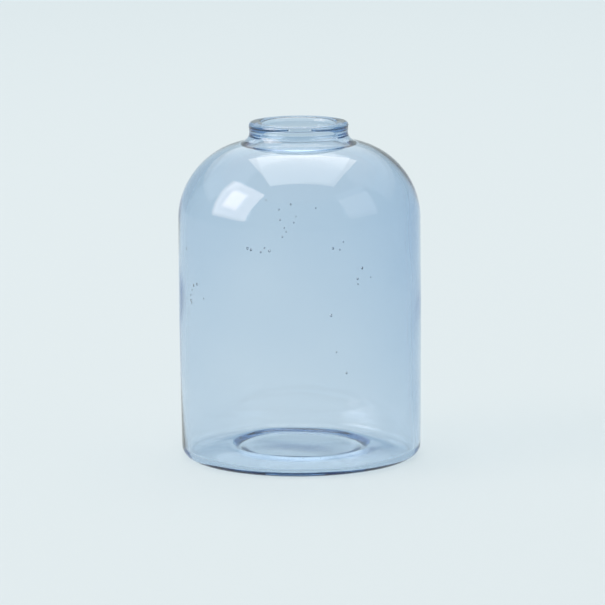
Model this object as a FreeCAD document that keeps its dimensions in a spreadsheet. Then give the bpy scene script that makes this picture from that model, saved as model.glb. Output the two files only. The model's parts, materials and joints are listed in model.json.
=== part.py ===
"""Small bud vase in pale blue blown glass: a straight body, a domed shoulder and a short rolled neck.

The vase is one continuous piece of hot-formed glass. It is modelled as the five zones that the
glassmaker forms one after another, each a solid of revolution about +Z, and each meeting the next
face to face: base, body wall, domed shoulder, neck collar and rolled lip. The origin is the centre
of the foot, on the surface that the vase stands on. All sizes are in millimetres.
"""
import FreeCAD, Part
import math
import os

import Sketcher

# Driving dimensions: alias, value in mm (angles in degrees), meaning.
DIMENSIONS = [
    ("overall_height", 120.0, "foot to crest of the lip"),
    ("foot_radius", 42.85, "outside of the body just above the heel"),
    ("shoulder_radius", 43.1, "outside of the body where the dome starts"),
    ("barrel_radius", 3600.0, "very slight outward bow of the body wall"),
    ("foot_wall", 2.0, "thickness of the blown wall at the foot"),
    ("shoulder_wall", 3.2, "thickness of the blown wall where the dome starts"),
    ("dome_top_wall", 1.9, "thickness of the dome where it meets the neck"),
    ("neck_wall", 2.7, "thickness at the waist under the lip"),
    ("base_height", 7.0, "height of the base zone"),
    ("heel_round", 3.8, "rounding of the outside lower edge"),
    ("foot_inner_radius", 38.0, "inner edge of the flat ring that touches the table"),
    ("punt_radius", 25.0, "crest of the hollow below, under the ring"),
    ("punt_rim_height", 2.1, "height of that crest above the table"),
    ("punt_top_radius", 19.0, "where the hollow below becomes level"),
    ("punt_height", 1.5, "hollow under the middle of the base"),
    ("floor_corner", 2.4, "rounding between floor and wall, inside"),
    ("floor_height", 1.9, "inside floor at its outer edge, above the table"),
    ("ridge_radius", 25.0, "crest of the soft ring on the inside floor"),
    ("ridge_height", 4.3, "height of that crest above the table"),
    ("dish_radius", 21.5, "edge of the level dish inside the ring"),
    ("dish_height", 3.1, "inside floor in the dish, above the table"),
    ("shoulder_height", 85.3, "height where the dome starts"),
    ("dome_radius", 27.75, "outside radius of the shoulder's arc"),
    ("neck_angle", 78.74, "where the dome turns up into the neck"),
    ("neck_fillet", 4.1, "outside radius of the turn into the neck"),
    ("lip_radius", 17.72, "outside of the rolled lip"),
    ("lip_outer_round", 1.5, "rounding of the lip's outer edge"),
    ("lip_inner_round", 1.5, "rounding of the lip's inner top edge"),
    ("lip_under_round", 0.7, "rounding under the lip, inside"),
    ("mouth_radius", 13.0, "clear bore of the mouth"),
]

# Heights and radii that follow from the driving dimensions, as spreadsheet expressions.
DOME_AXIS = "(shoulder_radius - dome_radius)"
FILLET_REACH = "(dome_radius + neck_fillet)"
COS_NECK = "cos(neck_angle * 1 deg)"
SIN_NECK = "sin(neck_angle * 1 deg)"
WAIST_RADIUS = f"({DOME_AXIS} + {FILLET_REACH} * {COS_NECK} - neck_fillet)"
WAIST_HEIGHT = f"(shoulder_height + {FILLET_REACH} * {SIN_NECK})"
TURN_RADIUS = f"({DOME_AXIS} + (dome_radius - dome_top_wall) * {COS_NECK})"
TURN_HEIGHT = f"(shoulder_height + (dome_radius - dome_top_wall) * {SIN_NECK})"
SHOULDER_INSIDE = "(shoulder_radius - shoulder_wall)"
WAIST_INSIDE = f"({WAIST_RADIUS} - neck_wall)"


def upright_arc(reach, rise):
    """Radius of an arc that starts upright and then moves by reach sideways and rise in height."""
    return f"(({reach})^2 + ({rise})^2) / (2 * ({reach}))"


DOME_INSIDE = upright_arc(f"{SHOULDER_INSIDE} - {TURN_RADIUS}", f"{TURN_HEIGHT} - shoulder_height")
NECK_INSIDE = upright_arc(f"{TURN_RADIUS} - {WAIST_INSIDE}", f"{WAIST_HEIGHT} - {TURN_HEIGHT}")


def make_sheet(doc):
    """Put the driving dimensions in a spreadsheet, one aliased row each."""
    sheet = doc.addObject("Spreadsheet::Sheet", "Dimensions")
    for row, (alias, value, meaning) in enumerate(DIMENSIONS, start=1):
        sheet.set(f"A{row}", meaning)
        sheet.set(f"B{row}", str(value))
        sheet.setAlias(f"B{row}", alias)
    doc.recompute()
    return sheet


def on_sheet(expression):
    """Rewrite an expression so that another object can read the sheet's aliases."""
    for alias, _, _ in DIMENSIONS:
        expression = replace_word(expression, alias, f"Dimensions.{alias}")
    return expression


def replace_word(text, word, replacement):
    """Replace whole words only, so that one alias inside another is left alone."""
    pieces = []
    token = ""
    for character in text + " ":
        if character.isalnum() or character in "_.":
            token += character
            continue
        pieces.append(replacement if token == word else token)
        pieces.append(character)
        token = ""
    return "".join(pieces).rstrip()


def origin_plane(body, role):
    """Find one of a body's own origin planes."""
    for feature in body.Origin.OriginFeatures:
        if feature.Role == role:
            return feature
    raise ValueError(f"{body.Label} has no {role}")


def arc_between(start, end, radius, left):
    """Arc joining two corners, its centre left or right of the way from start to end.

    It always runs anticlockwise, because a sketch counts an arc's two ends that way.
    """
    if not left:
        start, end = end, start
    chord = end - start
    middle = (start + end) / 2
    reach = math.sqrt(radius ** 2 - (chord.Length / 2) ** 2)
    to_centre = FreeCAD.Vector(-chord.y, chord.x, 0).normalize()
    centre = middle + to_centre * reach
    return Part.Arc(start, centre - to_centre * radius, end)


def draw_outline(sheet, body, corners, arcs):
    """Draw a closed outline of radius against height in the body's XZ plane.

    corners are (radius, height) expressions in order. arcs gives, for the edge that leaves a
    corner, its radius expression and whether its centre is on the left of that edge.
    """
    sketch = body.newObject("Sketcher::SketchObject", f"{body.Label}_outline")
    sketch.AttachmentSupport = [(origin_plane(body, "XZ_Plane"), "")]
    sketch.MapMode = "FlatFace"
    points = []
    for across, up in corners:
        points.append(FreeCAD.Vector(number(sheet, across), number(sheet, up), 0))
    for index, start in enumerate(points):
        end = points[(index + 1) % len(points)]
        if index in arcs:
            radius, left = arcs[index]
            sketch.addGeometry(arc_between(start, end, number(sheet, radius), left))
        else:
            sketch.addGeometry(Part.LineSegment(start, end))
    tie_corners(sketch, points)
    size_corners(sketch, points, corners)
    for index, (radius, _) in arcs.items():
        size = sketch.addConstraint(Sketcher.Constraint("Radius", index, number(sheet, radius)))
        sketch.setExpression(f"Constraints[{size}]", on_sheet(radius))
    return sketch


def number(sheet, expression):
    """Value of an expression over the sheet's aliases."""
    return float(sheet.evalExpression(expression))


def end_of(sketch, edge, point):
    """Sketcher's vertex number, 1 or 2, of the end of an edge that lies at point."""
    geometry = sketch.Geometry[edge]
    return 1 if (geometry.StartPoint - point).Length < (geometry.EndPoint - point).Length else 2


def tie_corners(sketch, points):
    """Join each edge to the next one at their shared corner."""
    for index, point in enumerate(points):
        before = (index - 1) % len(points)
        ends = (before, end_of(sketch, before, point), index, end_of(sketch, index, point))
        sketch.addConstraint(Sketcher.Constraint("Coincident", *ends))


def size_corners(sketch, points, corners):
    """Hold each corner at its radius and height from the sheet, or on the axis."""
    for index, (across, up) in enumerate(corners):
        vertex = end_of(sketch, index, points[index])
        if across == "0":
            sketch.addConstraint(Sketcher.Constraint("PointOnObject", index, vertex, -2))
        else:
            size = ("DistanceX", -1, 1, index, vertex, points[index].x)
            place = sketch.addConstraint(Sketcher.Constraint(*size))
            sketch.setExpression(f"Constraints[{place}]", on_sheet(across))
        if up == "0":
            sketch.addConstraint(Sketcher.Constraint("PointOnObject", index, vertex, -1))
        else:
            size = ("DistanceY", -1, 1, index, vertex, points[index].y)
            place = sketch.addConstraint(Sketcher.Constraint(*size))
            sketch.setExpression(f"Constraints[{place}]", on_sheet(up))


def turned_body(doc, sheet, name, corners, arcs):
    """Make one zone of the vase by turning its outline about the vertical axis."""
    body = doc.addObject("PartDesign::Body", name)
    body.Label = name
    sketch = draw_outline(sheet, body, corners, arcs)
    doc.recompute()
    turn = body.newObject("PartDesign::Revolution", f"{name}_turned")
    turn.Profile = sketch
    turn.ReferenceAxis = (sketch, ["V_Axis"])
    turn.Angle = 360.0
    body.Placement = FreeCAD.Placement()
    return body


def base_disc(doc, sheet):
    """Floor with a rounded heel, a pushed-up middle below and a dish inside a soft ring above."""
    inside = "foot_radius - foot_wall"
    corners = [
        ("0", "punt_height"),
        ("punt_top_radius", "punt_height"),
        ("punt_radius", "punt_rim_height"),
        ("foot_inner_radius", "0"),
        ("foot_radius - heel_round", "0"),
        ("foot_radius", "heel_round"),
        ("foot_radius", "base_height"),
        (inside, "base_height"),
        (inside, "floor_height + floor_corner"),
        (f"{inside} - floor_corner", "floor_height"),
        ("ridge_radius", "ridge_height"),
        ("dish_radius", "dish_height"),
        ("0", "dish_height"),
    ]
    arcs = {4: ("heel_round", True), 8: ("floor_corner", True)}
    return turned_body(doc, sheet, "base_disc", corners, arcs)


def body_wall(doc, sheet):
    """Upright wall with a barely visible outward bow, a little thinner at the foot."""
    corners = [
        ("foot_radius", "base_height"),
        ("shoulder_radius", "shoulder_height"),
        (SHOULDER_INSIDE, "shoulder_height"),
        ("foot_radius - foot_wall", "base_height"),
    ]
    arcs = {0: ("barrel_radius", True), 2: ("barrel_radius", False)}
    return turned_body(doc, sheet, "body_wall", corners, arcs)


def dome_point():
    """Radius and height where the outside of the dome turns up into the neck."""
    return f"{DOME_AXIS} + dome_radius * {COS_NECK}", f"shoulder_height + dome_radius * {SIN_NECK}"


def domed_shoulder(doc, sheet):
    """Quarter-round dome between the wall and the neck, thinner towards the neck."""
    corners = [
        ("shoulder_radius", "shoulder_height"),
        dome_point(),
        (TURN_RADIUS, TURN_HEIGHT),
        (SHOULDER_INSIDE, "shoulder_height"),
    ]
    arcs = {0: ("dome_radius", True), 2: (DOME_INSIDE, False)}
    return turned_body(doc, sheet, "domed_shoulder", corners, arcs)


def neck_collar(doc, sheet):
    """Short hollow turn from the dome up to the waist under the lip."""
    corners = [
        dome_point(),
        (WAIST_RADIUS, WAIST_HEIGHT),
        (WAIST_INSIDE, WAIST_HEIGHT),
        (TURN_RADIUS, TURN_HEIGHT),
    ]
    arcs = {0: ("neck_fillet", False), 2: (NECK_INSIDE, True)}
    return turned_body(doc, sheet, "neck_collar", corners, arcs)


def rolled_lip(doc, sheet):
    """Thick fire-polished ring that narrows the neck to the mouth."""
    corners = [
        ("mouth_radius + lip_under_round", WAIST_HEIGHT),
        (WAIST_RADIUS, WAIST_HEIGHT),
        ("lip_radius", "overall_height - lip_outer_round"),
        ("lip_radius - lip_outer_round", "overall_height"),
        ("mouth_radius + lip_inner_round", "overall_height"),
        ("mouth_radius", "overall_height - lip_inner_round"),
        ("mouth_radius", f"{WAIST_HEIGHT} + lip_under_round"),
    ]
    arcs = {
        2: ("lip_outer_round", True),
        4: ("lip_inner_round", True),
        6: ("lip_under_round", True),
    }
    return turned_body(doc, sheet, "rolled_lip", corners, arcs)


def check(doc, bodies):
    """Stop unless every object recomputed and every zone is one valid solid."""
    for item in doc.Objects:
        if "Invalid" in item.State or "Error" in item.State:
            raise RuntimeError(f"{item.Label} did not recompute: {item.State}")
    for body in bodies:
        shape = body.Shape
        if shape.isNull() or not shape.isValid() or len(shape.Solids) != 1:
            raise RuntimeError(f"{body.Label} is not one valid solid")
        box = shape.optimalBoundingBox()
        print(f"{body.Label}: {shape.Volume / 1000:.2f} cm3, z {box.ZMin:.2f} to {box.ZMax:.2f}")


def main():
    doc = FreeCAD.newDocument("bud_vase")
    sheet = make_sheet(doc)
    makers = [base_disc, body_wall, domed_shoulder, neck_collar, rolled_lip]
    bodies = [make(doc, sheet) for make in makers]
    doc.recompute()
    check(doc, bodies)
    os.makedirs("parts", exist_ok=True)
    for body in bodies:
        body.Shape.exportStep(f"parts/{body.Label}.step")


main()
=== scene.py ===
"""A pale blue blown-glass bud vase on a white sweep, lit by soft boxes.

The CAD model holds the vase as five zones of one piece of glass. Fused zones have no surface between
them, so a single closed glass mesh stands for all five here. Its outside is worked out from the frame's
boxes and its inside from the wall sizes below, and the hand-blown unevenness is added to both. Lengths
are in metres, and angles in degrees, unless a name or a comment says otherwise.
"""
import json
import math
import random
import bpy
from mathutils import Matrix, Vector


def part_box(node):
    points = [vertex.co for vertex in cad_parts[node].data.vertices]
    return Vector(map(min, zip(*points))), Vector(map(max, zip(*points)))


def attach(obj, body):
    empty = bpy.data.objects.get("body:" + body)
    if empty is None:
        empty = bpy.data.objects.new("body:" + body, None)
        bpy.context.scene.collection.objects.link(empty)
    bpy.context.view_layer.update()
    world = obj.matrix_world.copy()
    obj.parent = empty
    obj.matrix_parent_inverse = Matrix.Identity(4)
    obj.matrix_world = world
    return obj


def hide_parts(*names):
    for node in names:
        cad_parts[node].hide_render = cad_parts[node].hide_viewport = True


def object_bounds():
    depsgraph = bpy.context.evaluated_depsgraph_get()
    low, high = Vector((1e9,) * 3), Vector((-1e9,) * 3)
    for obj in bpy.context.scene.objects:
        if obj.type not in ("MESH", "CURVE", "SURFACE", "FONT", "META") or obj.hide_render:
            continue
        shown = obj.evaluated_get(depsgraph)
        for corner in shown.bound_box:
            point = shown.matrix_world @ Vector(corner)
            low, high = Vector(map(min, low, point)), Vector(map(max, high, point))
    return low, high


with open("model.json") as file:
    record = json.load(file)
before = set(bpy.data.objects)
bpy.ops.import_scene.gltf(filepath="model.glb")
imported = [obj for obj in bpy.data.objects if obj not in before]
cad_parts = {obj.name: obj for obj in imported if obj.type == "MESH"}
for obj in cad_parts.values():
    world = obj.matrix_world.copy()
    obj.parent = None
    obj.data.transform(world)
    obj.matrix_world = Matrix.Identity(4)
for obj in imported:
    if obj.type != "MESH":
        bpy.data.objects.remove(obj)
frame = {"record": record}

from types import SimpleNamespace

import bpy
import numpy as np
from mathutils import Quaternion, Vector, noise

CAD_LOW, CAD_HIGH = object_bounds()
MM = 0.001
ZONES = ("base_disc", "body_wall", "domed_shoulder", "neck_collar", "rolled_lip")

# Glass sizes that no outer box of the frame shows. The underside and the floor are (radius, height)
# levels in millimetres, with a soft step from each one to the next.
FOOT_WALL = 2.0 * MM
SHOULDER_WALL = 3.2 * MM
DOME_TOP_WALL = 1.9 * MM
NECK_WALL = 2.7 * MM
HEEL_ROUND = 3.8 * MM
FLOOR_CORNER = 2.4 * MM
UNDERSIDE = ((0.0, 1.5), (19.0, 1.5), (25.0, 2.1), (38.0, 0.0))
FLOOR = ((38.4, 1.9), (25.0, 4.3), (21.5, 3.1), (0.0, 3.1))
BOW = 0.2 * MM
LIP_OUTER_ROUND = 1.5 * MM
LIP_INNER_ROUND = 1.5 * MM
LIP_FLOW = 1.6 * MM

# Hand-blown glass strays slowly from its turned shape, more on the inside than on the outside. The foot
# stays true, and the outside's straying grows over WANDER_FADE above it.
OUTSIDE_WANDER = 0.06 * MM
INSIDE_WANDER = 0.22 * MM
WANDER_LENGTH = 21.0 * MM
WANDER_FADE = 5.0 * MM
INSIDE_OFFSET = Vector((7.3, 2.9, 5.1))

# The bubble sits a little to the left in its gather, so the wall is thicker on the right. The mouth and
# the floor are true: each pair gives the height of no shift and the height of full shift.
OFF_CENTRE = 0.4 * MM
SHIFT_UNDER_NECK = (108.0 * MM, 88.0 * MM)
SHIFT_ABOVE_FLOOR = (6.0 * MM, 24.0 * MM)

# How finely the glass is divided: columns round the axis, and points along each stretch of the outline.
AROUND = 240
STEP_POINTS = 16
FLAT_POINTS = 3
HEEL_POINTS = 20
WALL_POINTS = 50
DOME_POINTS = 48
DOME_INSIDE_POINTS = 44
NECK_POINTS = 16
LIP_SIDE_POINTS = 6
LIP_OUTER_POINTS = 16
LIP_INNER_POINTS = 14
LIP_FLOW_POINTS = 14
FLOOR_CORNER_POINTS = 16
WALL_SHARES = np.linspace(0.0, 1.0, WALL_POINTS)[1:]

# Points left out where two stretches of the inside meet: the lip's flow takes the place of the first
# points of the neck's arc, and the floor's corner follows a gap in the wall's last points.
NECK_OVERLAP = 4
WALL_GAP = 3

# Trails of seeds, the tiny gas bubbles in the glass. Each has two ends, as degrees round from the
# front towards +X and a height in millimetres, then a count and how far its seeds stray, in millimetres.
SEED_TRAILS = (
    ((-2, 91), (-33, 76), 10, 2.2),
    ((14, 84), (21, 80), 3, 1.5),
    ((-66, 78), (-70, 77), 1, 0.5),
    ((-58, 64), (-64, 59), 7, 2.0),
    ((28, 70), (36, 68), 4, 2.0),
    ((6, 65), (21, 31), 3, 1.5),
    ((172, 88), (188, 62), 5, 6.0),
)
SEED_DRAW = 11
SEED_DEPTH = 1.2 * MM
SEED_RADIUS = (0.22 * MM, 0.42 * MM)
SEED_STRETCH = 1.3
SEED_BANDS = 5
SEED_AROUND = 10

# The glass. Its tint and density are those of the absorption inside it, and its ripple is the faint
# waviness of a blown surface. A ripple is shorter up the vase than round it.
GLASS_IOR = 1.5
GLASS_ROUGHNESS = 0.01
GLASS_DENSITY = 100.0
GLASS_TINT = (0.09, 0.42, 0.71)
RIPPLE_STRETCH = (1.0, 1.0, 2.4)
RIPPLE_SCALE = 34.0
RIPPLE_STRENGTH = 0.35
RIPPLE_DEPTH = 0.05 * MM

# The paper of the sweep. Most of its brightness is an even glow of its own, and the rest, which the
# lamps give, takes the vase's shadow.
PAPER_COLOUR = (0.16, 0.17, 0.172)
PAPER_GLOW = (0.807, 0.942, 1.0)
PAPER_GLOW_STRENGTH = 0.587
PAPER_SPECULAR = 0.1
PAPER_ROUGHNESS = (0.86, 0.94)
TOOTH_SCALE = 900.0
TOOTH_STRENGTH = 0.1
TOOTH_DEPTH = 0.05 * MM
NOISE_DETAIL = 2.0

# The sweep: a flat disc, a bend and an upright wall, a hair below the vase's foot.
SWEEP_FLAT = 3.2
SWEEP_BEND = 1.0
SWEEP_HEIGHT = 3.4
SWEEP_FIRST_RING = 0.05
SWEEP_FLAT_POINTS = 10
SWEEP_BEND_POINTS = 20
SWEEP_AROUND = 96
SWEEP_GAP = 0.03 * MM

# Lamps round the shoulder. Azimuth 0 is the camera's side and 90 is +X. Distance, width and height are
# shares of LAMP_REACH, and radiance is how bright the lamp's face looks.
LAMP_REACH = 2.6
OVERHEAD_PLACE = (0.05, 0.22, 1.0)
OVERHEAD_SIZE = (0.95, 1.2)
OVERHEAD_RADIANCE = 2.4
OVERHEAD_COLOUR = (1, 0.86, 0.74)
WARM = (1, 0.80, 0.70)
FILL_COLOUR = (1, 0.88, 0.80)
WASH_COLOUR = (1, 0.90, 0.82)
LAMPS = (
    # name, azimuth, elevation, distance, width, height, radiance, colour
    ("left_box", -73, 30, 1.0, 0.76, 0.76, 3.4, WARM),
    ("left_box_middle", -75, 31, 0.98, 0.3, 0.36, 3.2, WARM),
    ("right_fill", 65, 26, 1.0, 0.6, 0.5, 0.9, FILL_COLOUR),
    ("back_left_wash", -140, 44, 1.0, 1.5, 0.8, 0.5, WASH_COLOUR),
    ("back_right_wash", 140, 44, 1.0, 1.5, 0.8, 0.35, WASH_COLOUR),
)
ROOM_COLOUR = (0.93, 0.97, 1.0)
ROOM_STRENGTH = 0.7

CAMERA_PLACE = (0.0, -1.3, 0.282)
CAMERA_AIM = (0.00085, 0.0, 0.0548)
CAMERA_ROLL = -0.49
CAMERA_CLIP_END = 20.0
SENSOR_MM = 36.0
LENS_MM = 219.9

# Light is guided round inside the lip and the base by total reflection, which counts as glossy bounces.
LIGHT_BOUNCES = 32


def half_width(node):
    """Outside radius of a zone, from its box."""
    low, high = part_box(node)
    return (high[0] - low[0]) / 2


def mouth_radius():
    """Radius of the mouth's clear bore, from the mount of that name."""
    mounts = {mount["name"]: mount for mount in frame["record"]["mounts"]}
    return mounts["mouth"]["dims"]["r_mm"] * MM


def outer_sizes():
    """Radii and heights of the outside, and the two arcs that make the dome and the turn of the neck.

    The dome leaves the shoulder upright. It ends where the neck's fillet begins, at turn degrees round
    from level, and the fillet ends upright at the waist under the lip.
    """
    foot = half_width("base_disc")
    shoulder = half_width("domed_shoulder")
    shoulder_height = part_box("body_wall")[1][2]
    dome_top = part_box("domed_shoulder")[1][2]
    waist_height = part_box("rolled_lip")[0][2]
    reach, rise = shoulder - half_width("neck_collar"), dome_top - shoulder_height
    dome = (reach ** 2 + rise ** 2) / (2 * reach)
    dome_centre = (shoulder - dome, shoulder_height)
    turn = math.degrees(math.asin(rise / dome))
    fillet = (waist_height - dome_top) / math.sin(math.radians(turn))
    fillet_centre = (dome_centre[0] + (dome + fillet) * math.cos(math.radians(turn)), waist_height)
    return SimpleNamespace(
        foot=foot, shoulder=shoulder, shoulder_height=shoulder_height,
        dome=dome, dome_centre=dome_centre, turn=turn,
        fillet=fillet, fillet_centre=fillet_centre,
        waist=fillet_centre[0] - fillet, waist_height=waist_height,
        lip=half_width("rolled_lip"), top=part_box("rolled_lip")[1][2],
    )


def arc(centre, radius, start, end, count):
    """Points on a circle in the radius-height plane, from one angle to another."""
    points = []
    for angle in np.radians(np.linspace(start, end, count)):
        points.append((centre[0] + radius * math.cos(angle), centre[1] + radius * math.sin(angle)))
    return points


def upright_arc(start, end, count):
    """Points on the arc that leaves start upright and reaches end."""
    across, up = end[0] - start[0], end[1] - start[1]
    radius = (across ** 2 + up ** 2) / (2 * across)
    sweep = math.asin(up / radius)
    points = []
    for angle in np.linspace(0.0, sweep, count):
        points.append((start[0] + radius * (1 - math.cos(angle)), start[1] + radius * math.sin(angle)))
    return points


def line(start, end, count):
    """Evenly spaced points from start up to, but not including, end."""
    points = []
    for share in np.linspace(0.0, 1.0, count, endpoint=False):
        points.append((start[0] + share * (end[0] - start[0]), start[1] + share * (end[1] - start[1])))
    return points


def smooth_steps(start, end, count):
    """Points that leave and reach their ends level, as a soft step in a pressed floor does."""
    points = []
    for share in np.linspace(0.0, 1.0, count, endpoint=False):
        ease = share * share * (3 - 2 * share)
        points.append((start[0] + share * (end[0] - start[0]), start[1] + ease * (end[1] - start[1])))
    return points


def soft_levels(levels):
    """Points through (radius, height) levels in millimetres, level at each one, without the last."""
    points = []
    for (start, low), (end, high) in zip(levels, levels[1:]):
        points += smooth_steps((start * MM, low * MM), (end * MM, high * MM), STEP_POINTS)
    return points


def bowed(share, start, end):
    """Radius of the wall at a share of the way from one end to the other, with its slight bow."""
    return start + share * (end - start) + BOW * math.sin(math.pi * share)


def outside_outline(outer):
    """Outside in the radius-height plane, from the axis below up to the crest of the lip."""
    heel = (outer.foot - HEEL_ROUND, HEEL_ROUND)
    outline = soft_levels(UNDERSIDE)
    outline += line((UNDERSIDE[-1][0] * MM, 0.0), (heel[0], 0.0), FLAT_POINTS)
    outline += arc(heel, HEEL_ROUND, -90, 0, HEEL_POINTS)
    for share in WALL_SHARES:
        height = HEEL_ROUND + share * (outer.shoulder_height - HEEL_ROUND)
        outline.append((bowed(share, outer.foot, outer.shoulder), height))
    outline += arc(outer.dome_centre, outer.dome, 0, outer.turn, DOME_POINTS)[1:]
    outline += arc(outer.fillet_centre, outer.fillet, outer.turn + 180, 180, NECK_POINTS)[1:]
    lip = (outer.lip - LIP_OUTER_ROUND, outer.top - LIP_OUTER_ROUND)
    outline += line((outer.waist, outer.waist_height), (outer.lip, lip[1]), LIP_SIDE_POINTS)[1:]
    outline += arc(lip, LIP_OUTER_ROUND, 0, 90, LIP_OUTER_POINTS)
    return outline


def inside_outline(outer):
    """Inside in the radius-height plane, from the crest of the lip down to the axis at the floor."""
    foot, shoulder = outer.foot - FOOT_WALL, outer.shoulder - SHOULDER_WALL
    neck, mouth = outer.waist - NECK_WALL, mouth_radius()
    turn, dome = math.radians(outer.turn), outer.dome - DOME_TOP_WALL
    dome_end = (
        outer.dome_centre[0] + dome * math.cos(turn),
        outer.shoulder_height + dome * math.sin(turn),
    )
    floor_radius, floor_height = FLOOR[0][0] * MM, FLOOR[0][1] * MM
    lip = (mouth + LIP_INNER_ROUND, outer.top - LIP_INNER_ROUND)
    flow_start = (mouth, outer.waist_height + LIP_FLOW)
    flow_end = (neck, outer.waist_height - LIP_FLOW)

    outline = arc(lip, LIP_INNER_ROUND, 90, 180, LIP_INNER_POINTS)
    outline += smooth_steps(flow_start, flow_end, LIP_FLOW_POINTS)
    outline += upright_arc((neck, outer.waist_height), dome_end, NECK_POINTS)[NECK_OVERLAP:]
    rising = upright_arc((shoulder, outer.shoulder_height), dome_end, DOME_INSIDE_POINTS)
    outline += rising[::-1][1:]
    for share in WALL_SHARES[:-WALL_GAP]:
        height = outer.shoulder_height - share * (outer.shoulder_height - floor_height - FLOOR_CORNER)
        outline.append((bowed(share, shoulder, foot), height))
    corner = (foot - FLOOR_CORNER, floor_height + FLOOR_CORNER)
    outline += arc(corner, FLOOR_CORNER, 0, -90, FLOOR_CORNER_POINTS)
    outline += line((corner[0], floor_height), (floor_radius, floor_height), FLAT_POINTS)[1:]
    outline += soft_levels(FLOOR)
    outline.append((0.0, FLOOR[-1][1] * MM))
    return outline


def wander(place, size, offset):
    """How far the glass strays at a place, with a size and with its own patch of the noise."""
    return size * noise.noise(place / WANDER_LENGTH + offset)


def inside_shift(height):
    """How far the inside lies off the axis at a height."""
    share = 1.0
    for true, full in (SHIFT_UNDER_NECK, SHIFT_ABOVE_FLOOR):
        share = min(share, max(0.0, (height - true) / (full - true)))
    return Vector((-OFF_CENTRE * share, 0.0, 0.0))


def strayed(radius, height, across, up, angle, inside):
    """A point of the turned glass, moved by the hand-blown unevenness.

    Across and up are the outward direction of the outline there, and the angle is in radians.
    """
    place = Vector((radius * math.cos(angle), radius * math.sin(angle), height))
    outward = Vector((across * math.cos(angle), across * math.sin(angle), up))
    if inside:
        return place + inside_shift(height) + outward * wander(place, INSIDE_WANDER, INSIDE_OFFSET)
    fade = min(1.0, height / WANDER_FADE)
    return place + outward * wander(place, OUTSIDE_WANDER * fade, Vector())


def column(first, rings, around, step):
    """Faces between rings of vertices, in one column. The rings follow each other from vertex first."""
    after = (step + 1) % around
    faces = []
    for row in range(rings - 1):
        low, high = first + row * around, first + (row + 1) * around
        faces.append((low + step, low + after, high + after, high + step))
    return faces


def turned_glass(outside, inside):
    """Vertices and faces of the glass: its outline, whose ends lie on the axis, turned about +Z."""
    outline = outside + inside
    rings = outline[1:-1]
    vertices = [strayed(0.0, outline[0][1], 0.0, -1.0, 0.0, False)]
    for row, (radius, height) in enumerate(rings, start=1):
        along = Vector(outline[row + 1]) - Vector(outline[row - 1])
        across, up = along.y / along.length, -along.x / along.length
        for step in range(AROUND):
            angle = 2 * math.pi * step / AROUND
            vertices.append(strayed(radius, height, across, up, angle, row >= len(outside)))
    vertices.append(strayed(0.0, outline[-1][1], 0.0, 1.0, 0.0, True))
    last = len(vertices) - 1
    last_ring = last - AROUND
    faces = []
    for step in range(AROUND):
        after = (step + 1) % AROUND
        faces.append((0, 1 + after, 1 + step))
        faces += column(1, len(rings), AROUND, step)
        faces.append((last_ring + step, last_ring + after, last))
    return vertices, faces


def wall_middle(outer, height):
    """Radius near the middle of the wall, at a height on the body or the lower dome."""
    above = max(0.0, height - outer.shoulder_height)
    return outer.dome_centre[0] + math.sqrt((outer.dome - SEED_DEPTH) ** 2 - above ** 2)


def seed_places(outer, draw):
    """Centres of all the seeds, strayed a little from their trails."""
    places = []
    for (start, low), (end, high), count, stray in SEED_TRAILS:
        for _ in range(count):
            along = draw.random()
            height = (low + along * (high - low) + draw.gauss(0, stray)) * MM
            radius = wall_middle(outer, height)
            angle = math.radians(start + along * (end - start)) + draw.gauss(0, stray) * MM / radius
            places.append(Vector((radius * math.sin(angle), -radius * math.cos(angle), height)))
    return places


def add_seeds(outer, vertices, faces):
    """Hollow each seed out of the glass, as a small ball whose faces look into it."""
    draw = random.Random(SEED_DRAW)
    for centre in seed_places(outer, draw):
        size = draw.uniform(*SEED_RADIUS)
        first = len(vertices)
        for row in range(1, SEED_BANDS):
            polar = math.pi * row / SEED_BANDS
            for step in range(SEED_AROUND):
                angle = 2 * math.pi * step / SEED_AROUND
                flat = size * math.sin(polar)
                up = size * SEED_STRETCH * math.cos(polar)
                vertices.append(centre + Vector((flat * math.cos(angle), flat * math.sin(angle), up)))
        top = len(vertices)
        last_ring = top - SEED_AROUND
        vertices.append(centre + Vector((0, 0, size * SEED_STRETCH)))
        vertices.append(centre - Vector((0, 0, size * SEED_STRETCH)))
        for step in range(SEED_AROUND):
            after = (step + 1) % SEED_AROUND
            faces.append((top, first + after, first + step))
            faces.append((top + 1, last_ring + step, last_ring + after))
            faces += column(first, SEED_BANDS - 1, SEED_AROUND, step)


def smooth_object(name, vertices, faces, material):
    """A smooth-shaded mesh object with one material, linked to the scene."""
    mesh = bpy.data.meshes.new(name)
    mesh.from_pydata(vertices, [], faces)
    mesh.polygons.foreach_set("use_smooth", [True] * len(mesh.polygons))
    mesh.update()
    mesh.materials.append(material)
    piece = bpy.data.objects.new(name, mesh)
    bpy.context.scene.collection.objects.link(piece)
    return piece


def new_material(name):
    """A node material, with its nodes, its links and its shader."""
    material = bpy.data.materials.new(name)
    material.use_nodes = True
    nodes, links = material.node_tree.nodes, material.node_tree.links
    return material, nodes, links, nodes["Principled BSDF"]


def surface_noise(nodes, links, stretch, scale):
    """Output of a noise texture in the object's own metres, stretched by axis."""
    place = nodes.new("ShaderNodeTexCoord")
    mapping = nodes.new("ShaderNodeMapping")
    mapping.inputs["Scale"].default_value = stretch
    texture = nodes.new("ShaderNodeTexNoise")
    texture.inputs["Scale"].default_value = scale
    texture.inputs["Detail"].default_value = NOISE_DETAIL
    links.new(place.outputs["Object"], mapping.inputs["Vector"])
    links.new(mapping.outputs["Vector"], texture.inputs["Vector"])
    return texture.outputs["Fac"]


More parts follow.
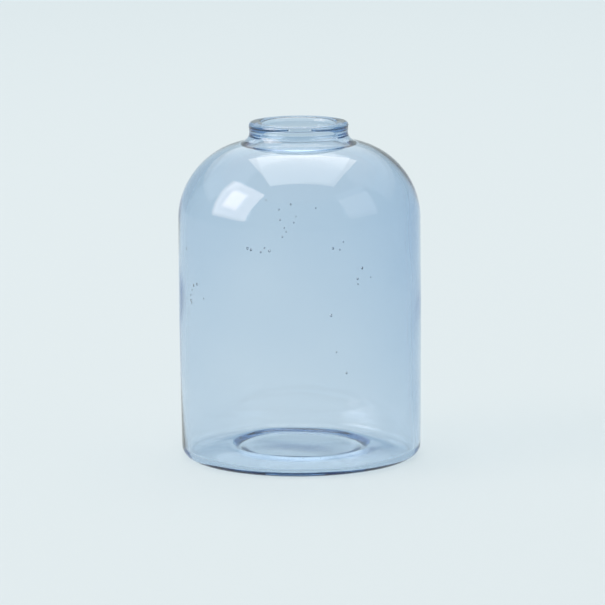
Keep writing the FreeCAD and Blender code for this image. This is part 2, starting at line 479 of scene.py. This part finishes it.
def add_bump(nodes, links, shader, height, strength, depth):
    """Bump the shader's normal by a height."""
    bump = nodes.new("ShaderNodeBump")
    bump.inputs["Strength"].default_value = strength
    bump.inputs["Distance"].default_value = depth
    links.new(height, bump.inputs["Height"])
    links.new(bump.outputs["Normal"], shader.inputs["Normal"])


def glass_material(name):
    """Clear blown glass: smooth, with the faint ripple of a hand-blown surface and a blue tint inside."""
    material, nodes, links, shader = new_material(name)
    shader.inputs["Base Color"].default_value = (1, 1, 1, 1)
    shader.inputs["Roughness"].default_value = GLASS_ROUGHNESS
    shader.inputs["IOR"].default_value = GLASS_IOR
    shader.inputs["Transmission Weight"].default_value = 1.0
    ripple = surface_noise(nodes, links, RIPPLE_STRETCH, RIPPLE_SCALE)
    add_bump(nodes, links, shader, ripple, RIPPLE_STRENGTH, RIPPLE_DEPTH)
    tint = nodes.new("ShaderNodeVolumeAbsorption")
    tint.inputs["Color"].default_value = (*GLASS_TINT, 1)
    tint.inputs["Density"].default_value = GLASS_DENSITY
    links.new(tint.outputs["Volume"], nodes["Material Output"].inputs["Volume"])
    return material


def paper_material(name):
    """Matt white paper of the studio sweep, with a fine tooth."""
    material, nodes, links, shader = new_material(name)
    shader.inputs["Base Color"].default_value = (*PAPER_COLOUR, 1)
    shader.inputs["Emission Color"].default_value = (*PAPER_GLOW, 1)
    shader.inputs["Emission Strength"].default_value = PAPER_GLOW_STRENGTH
    shader.inputs["Specular IOR Level"].default_value = PAPER_SPECULAR
    tooth = surface_noise(nodes, links, (1.0, 1.0, 1.0), TOOTH_SCALE)
    add_bump(nodes, links, shader, tooth, TOOTH_STRENGTH, TOOTH_DEPTH)
    matt = nodes.new("ShaderNodeMapRange")
    matt.inputs["To Min"].default_value, matt.inputs["To Max"].default_value = PAPER_ROUGHNESS
    links.new(tooth, matt.inputs["Value"])
    links.new(matt.outputs["Result"], shader.inputs["Roughness"])
    return material


def make_sweep():
    """Round white floor that curves up into a wall all round, so that every view has the same ground."""
    outline = [(0.0, 0.0)] + line((SWEEP_FIRST_RING, 0.0), (SWEEP_FLAT, 0.0), SWEEP_FLAT_POINTS)
    outline += arc((SWEEP_FLAT, SWEEP_BEND), SWEEP_BEND, -90, 0, SWEEP_BEND_POINTS)
    for share in (0.25, 0.5, 0.75, 1.0):
        outline.append((SWEEP_FLAT + SWEEP_BEND, SWEEP_BEND + (SWEEP_HEIGHT - SWEEP_BEND) * share))
    rings = outline[1:]
    vertices, faces = [(0.0, 0.0, 0.0)], []
    for radius, up in rings:
        for step in range(SWEEP_AROUND):
            angle = 2 * math.pi * step / SWEEP_AROUND
            vertices.append((radius * math.cos(angle), radius * math.sin(angle), up))
    for step in range(SWEEP_AROUND):
        faces.append((0, 1 + step, 1 + (step + 1) % SWEEP_AROUND))
        faces += [(a, d, c, b) for a, b, c, d in column(1, len(rings), SWEEP_AROUND, step)]
    sweep = smooth_object("studio_sweep", vertices, faces, paper_material("sweep_paper"))
    sweep.location = (0, 0, CAD_LOW[2] - SWEEP_GAP)


def direction(azimuth, elevation):
    """Unit vector at an azimuth, 0 on the camera's side and 90 on +X, and an elevation."""
    turn, tilt = math.radians(azimuth), math.radians(elevation)
    return Vector((math.sin(turn) * math.cos(tilt), -math.cos(turn) * math.cos(tilt), math.sin(tilt)))


def soft_box(name, place, towards, width, height, radiance, colour):
    """Rectangular lamp at a place, which shines against a direction and which the camera doesn't see."""
    lamp = bpy.data.lights.new(name, "AREA")
    lamp.shape = "RECTANGLE"
    lamp.size, lamp.size_y = width, height
    lamp.energy = radiance * math.pi * width * height
    lamp.color = colour
    box = bpy.data.objects.new(name, lamp)
    box.location = place
    box.rotation_mode = "QUATERNION"
    box.rotation_quaternion = towards.to_track_quat("Z", "Y")
    box.visible_camera = False
    bpy.context.scene.collection.objects.link(box)


def make_lights():
    """A large box overhead, one on the left with a bright middle, a weak fill and two weak washes behind."""
    shoulder = Vector((0, 0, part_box("body_wall")[1][2]))
    place = shoulder + Vector(OVERHEAD_PLACE) * LAMP_REACH
    width, height = OVERHEAD_SIZE[0] * LAMP_REACH, OVERHEAD_SIZE[1] * LAMP_REACH
    upward = Vector((0, 0, 1))
    soft_box("overhead_box", place, upward, width, height, OVERHEAD_RADIANCE, OVERHEAD_COLOUR)
    for name, azimuth, elevation, distance, wide, high, radiance, colour in LAMPS:
        towards = direction(azimuth, elevation)
        place = shoulder + towards * (distance * LAMP_REACH)
        soft_box(name, place, towards, wide * LAMP_REACH, high * LAMP_REACH, radiance, colour)
    world = bpy.data.worlds.new("studio_room")
    world.use_nodes = True
    background = world.node_tree.nodes["Background"]
    background.inputs["Color"].default_value = (*ROOM_COLOUR, 1)
    background.inputs["Strength"].default_value = ROOM_STRENGTH
    bpy.context.scene.world = world


def make_camera():
    """Long lens above the height of the lip, tipped down to near the vase's middle, with a trace of roll."""
    data = bpy.data.cameras.new("camera")
    data.sensor_width = SENSOR_MM
    data.lens = LENS_MM
    data.clip_end = CAMERA_CLIP_END
    camera = bpy.data.objects.new("camera", data)
    camera.location = CAMERA_PLACE
    aim = Vector(CAMERA_AIM) - camera.location
    camera.rotation_mode = "QUATERNION"
    look = aim.to_track_quat("-Z", "Y")
    camera.rotation_quaternion = look @ Quaternion((0, 0, 1), math.radians(CAMERA_ROLL))
    bpy.context.scene.collection.objects.link(camera)
    bpy.context.scene.camera = camera


def make_vase():
    """The one piece of glass, which stands for all five zones."""
    outer = outer_sizes()
    vertices, faces = turned_glass(outside_outline(outer), inside_outline(outer))
    add_seeds(outer, vertices, faces)
    glass = smooth_object("vase_glass", vertices, faces, glass_material("pale_blue_glass"))
    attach(glass, "root")
    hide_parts(*ZONES)


make_camera()
make_sweep()
make_lights()
make_vase()

scene = bpy.context.scene
scene.view_settings.view_transform = "Standard"
scene.cycles.max_bounces = LIGHT_BOUNCES
scene.cycles.transmission_bounces = LIGHT_BOUNCES
scene.cycles.glossy_bounces = LIGHT_BOUNCES
scene.cycles.blur_glossy = 0.0
scene.cycles.sample_clamp_indirect = 0.0
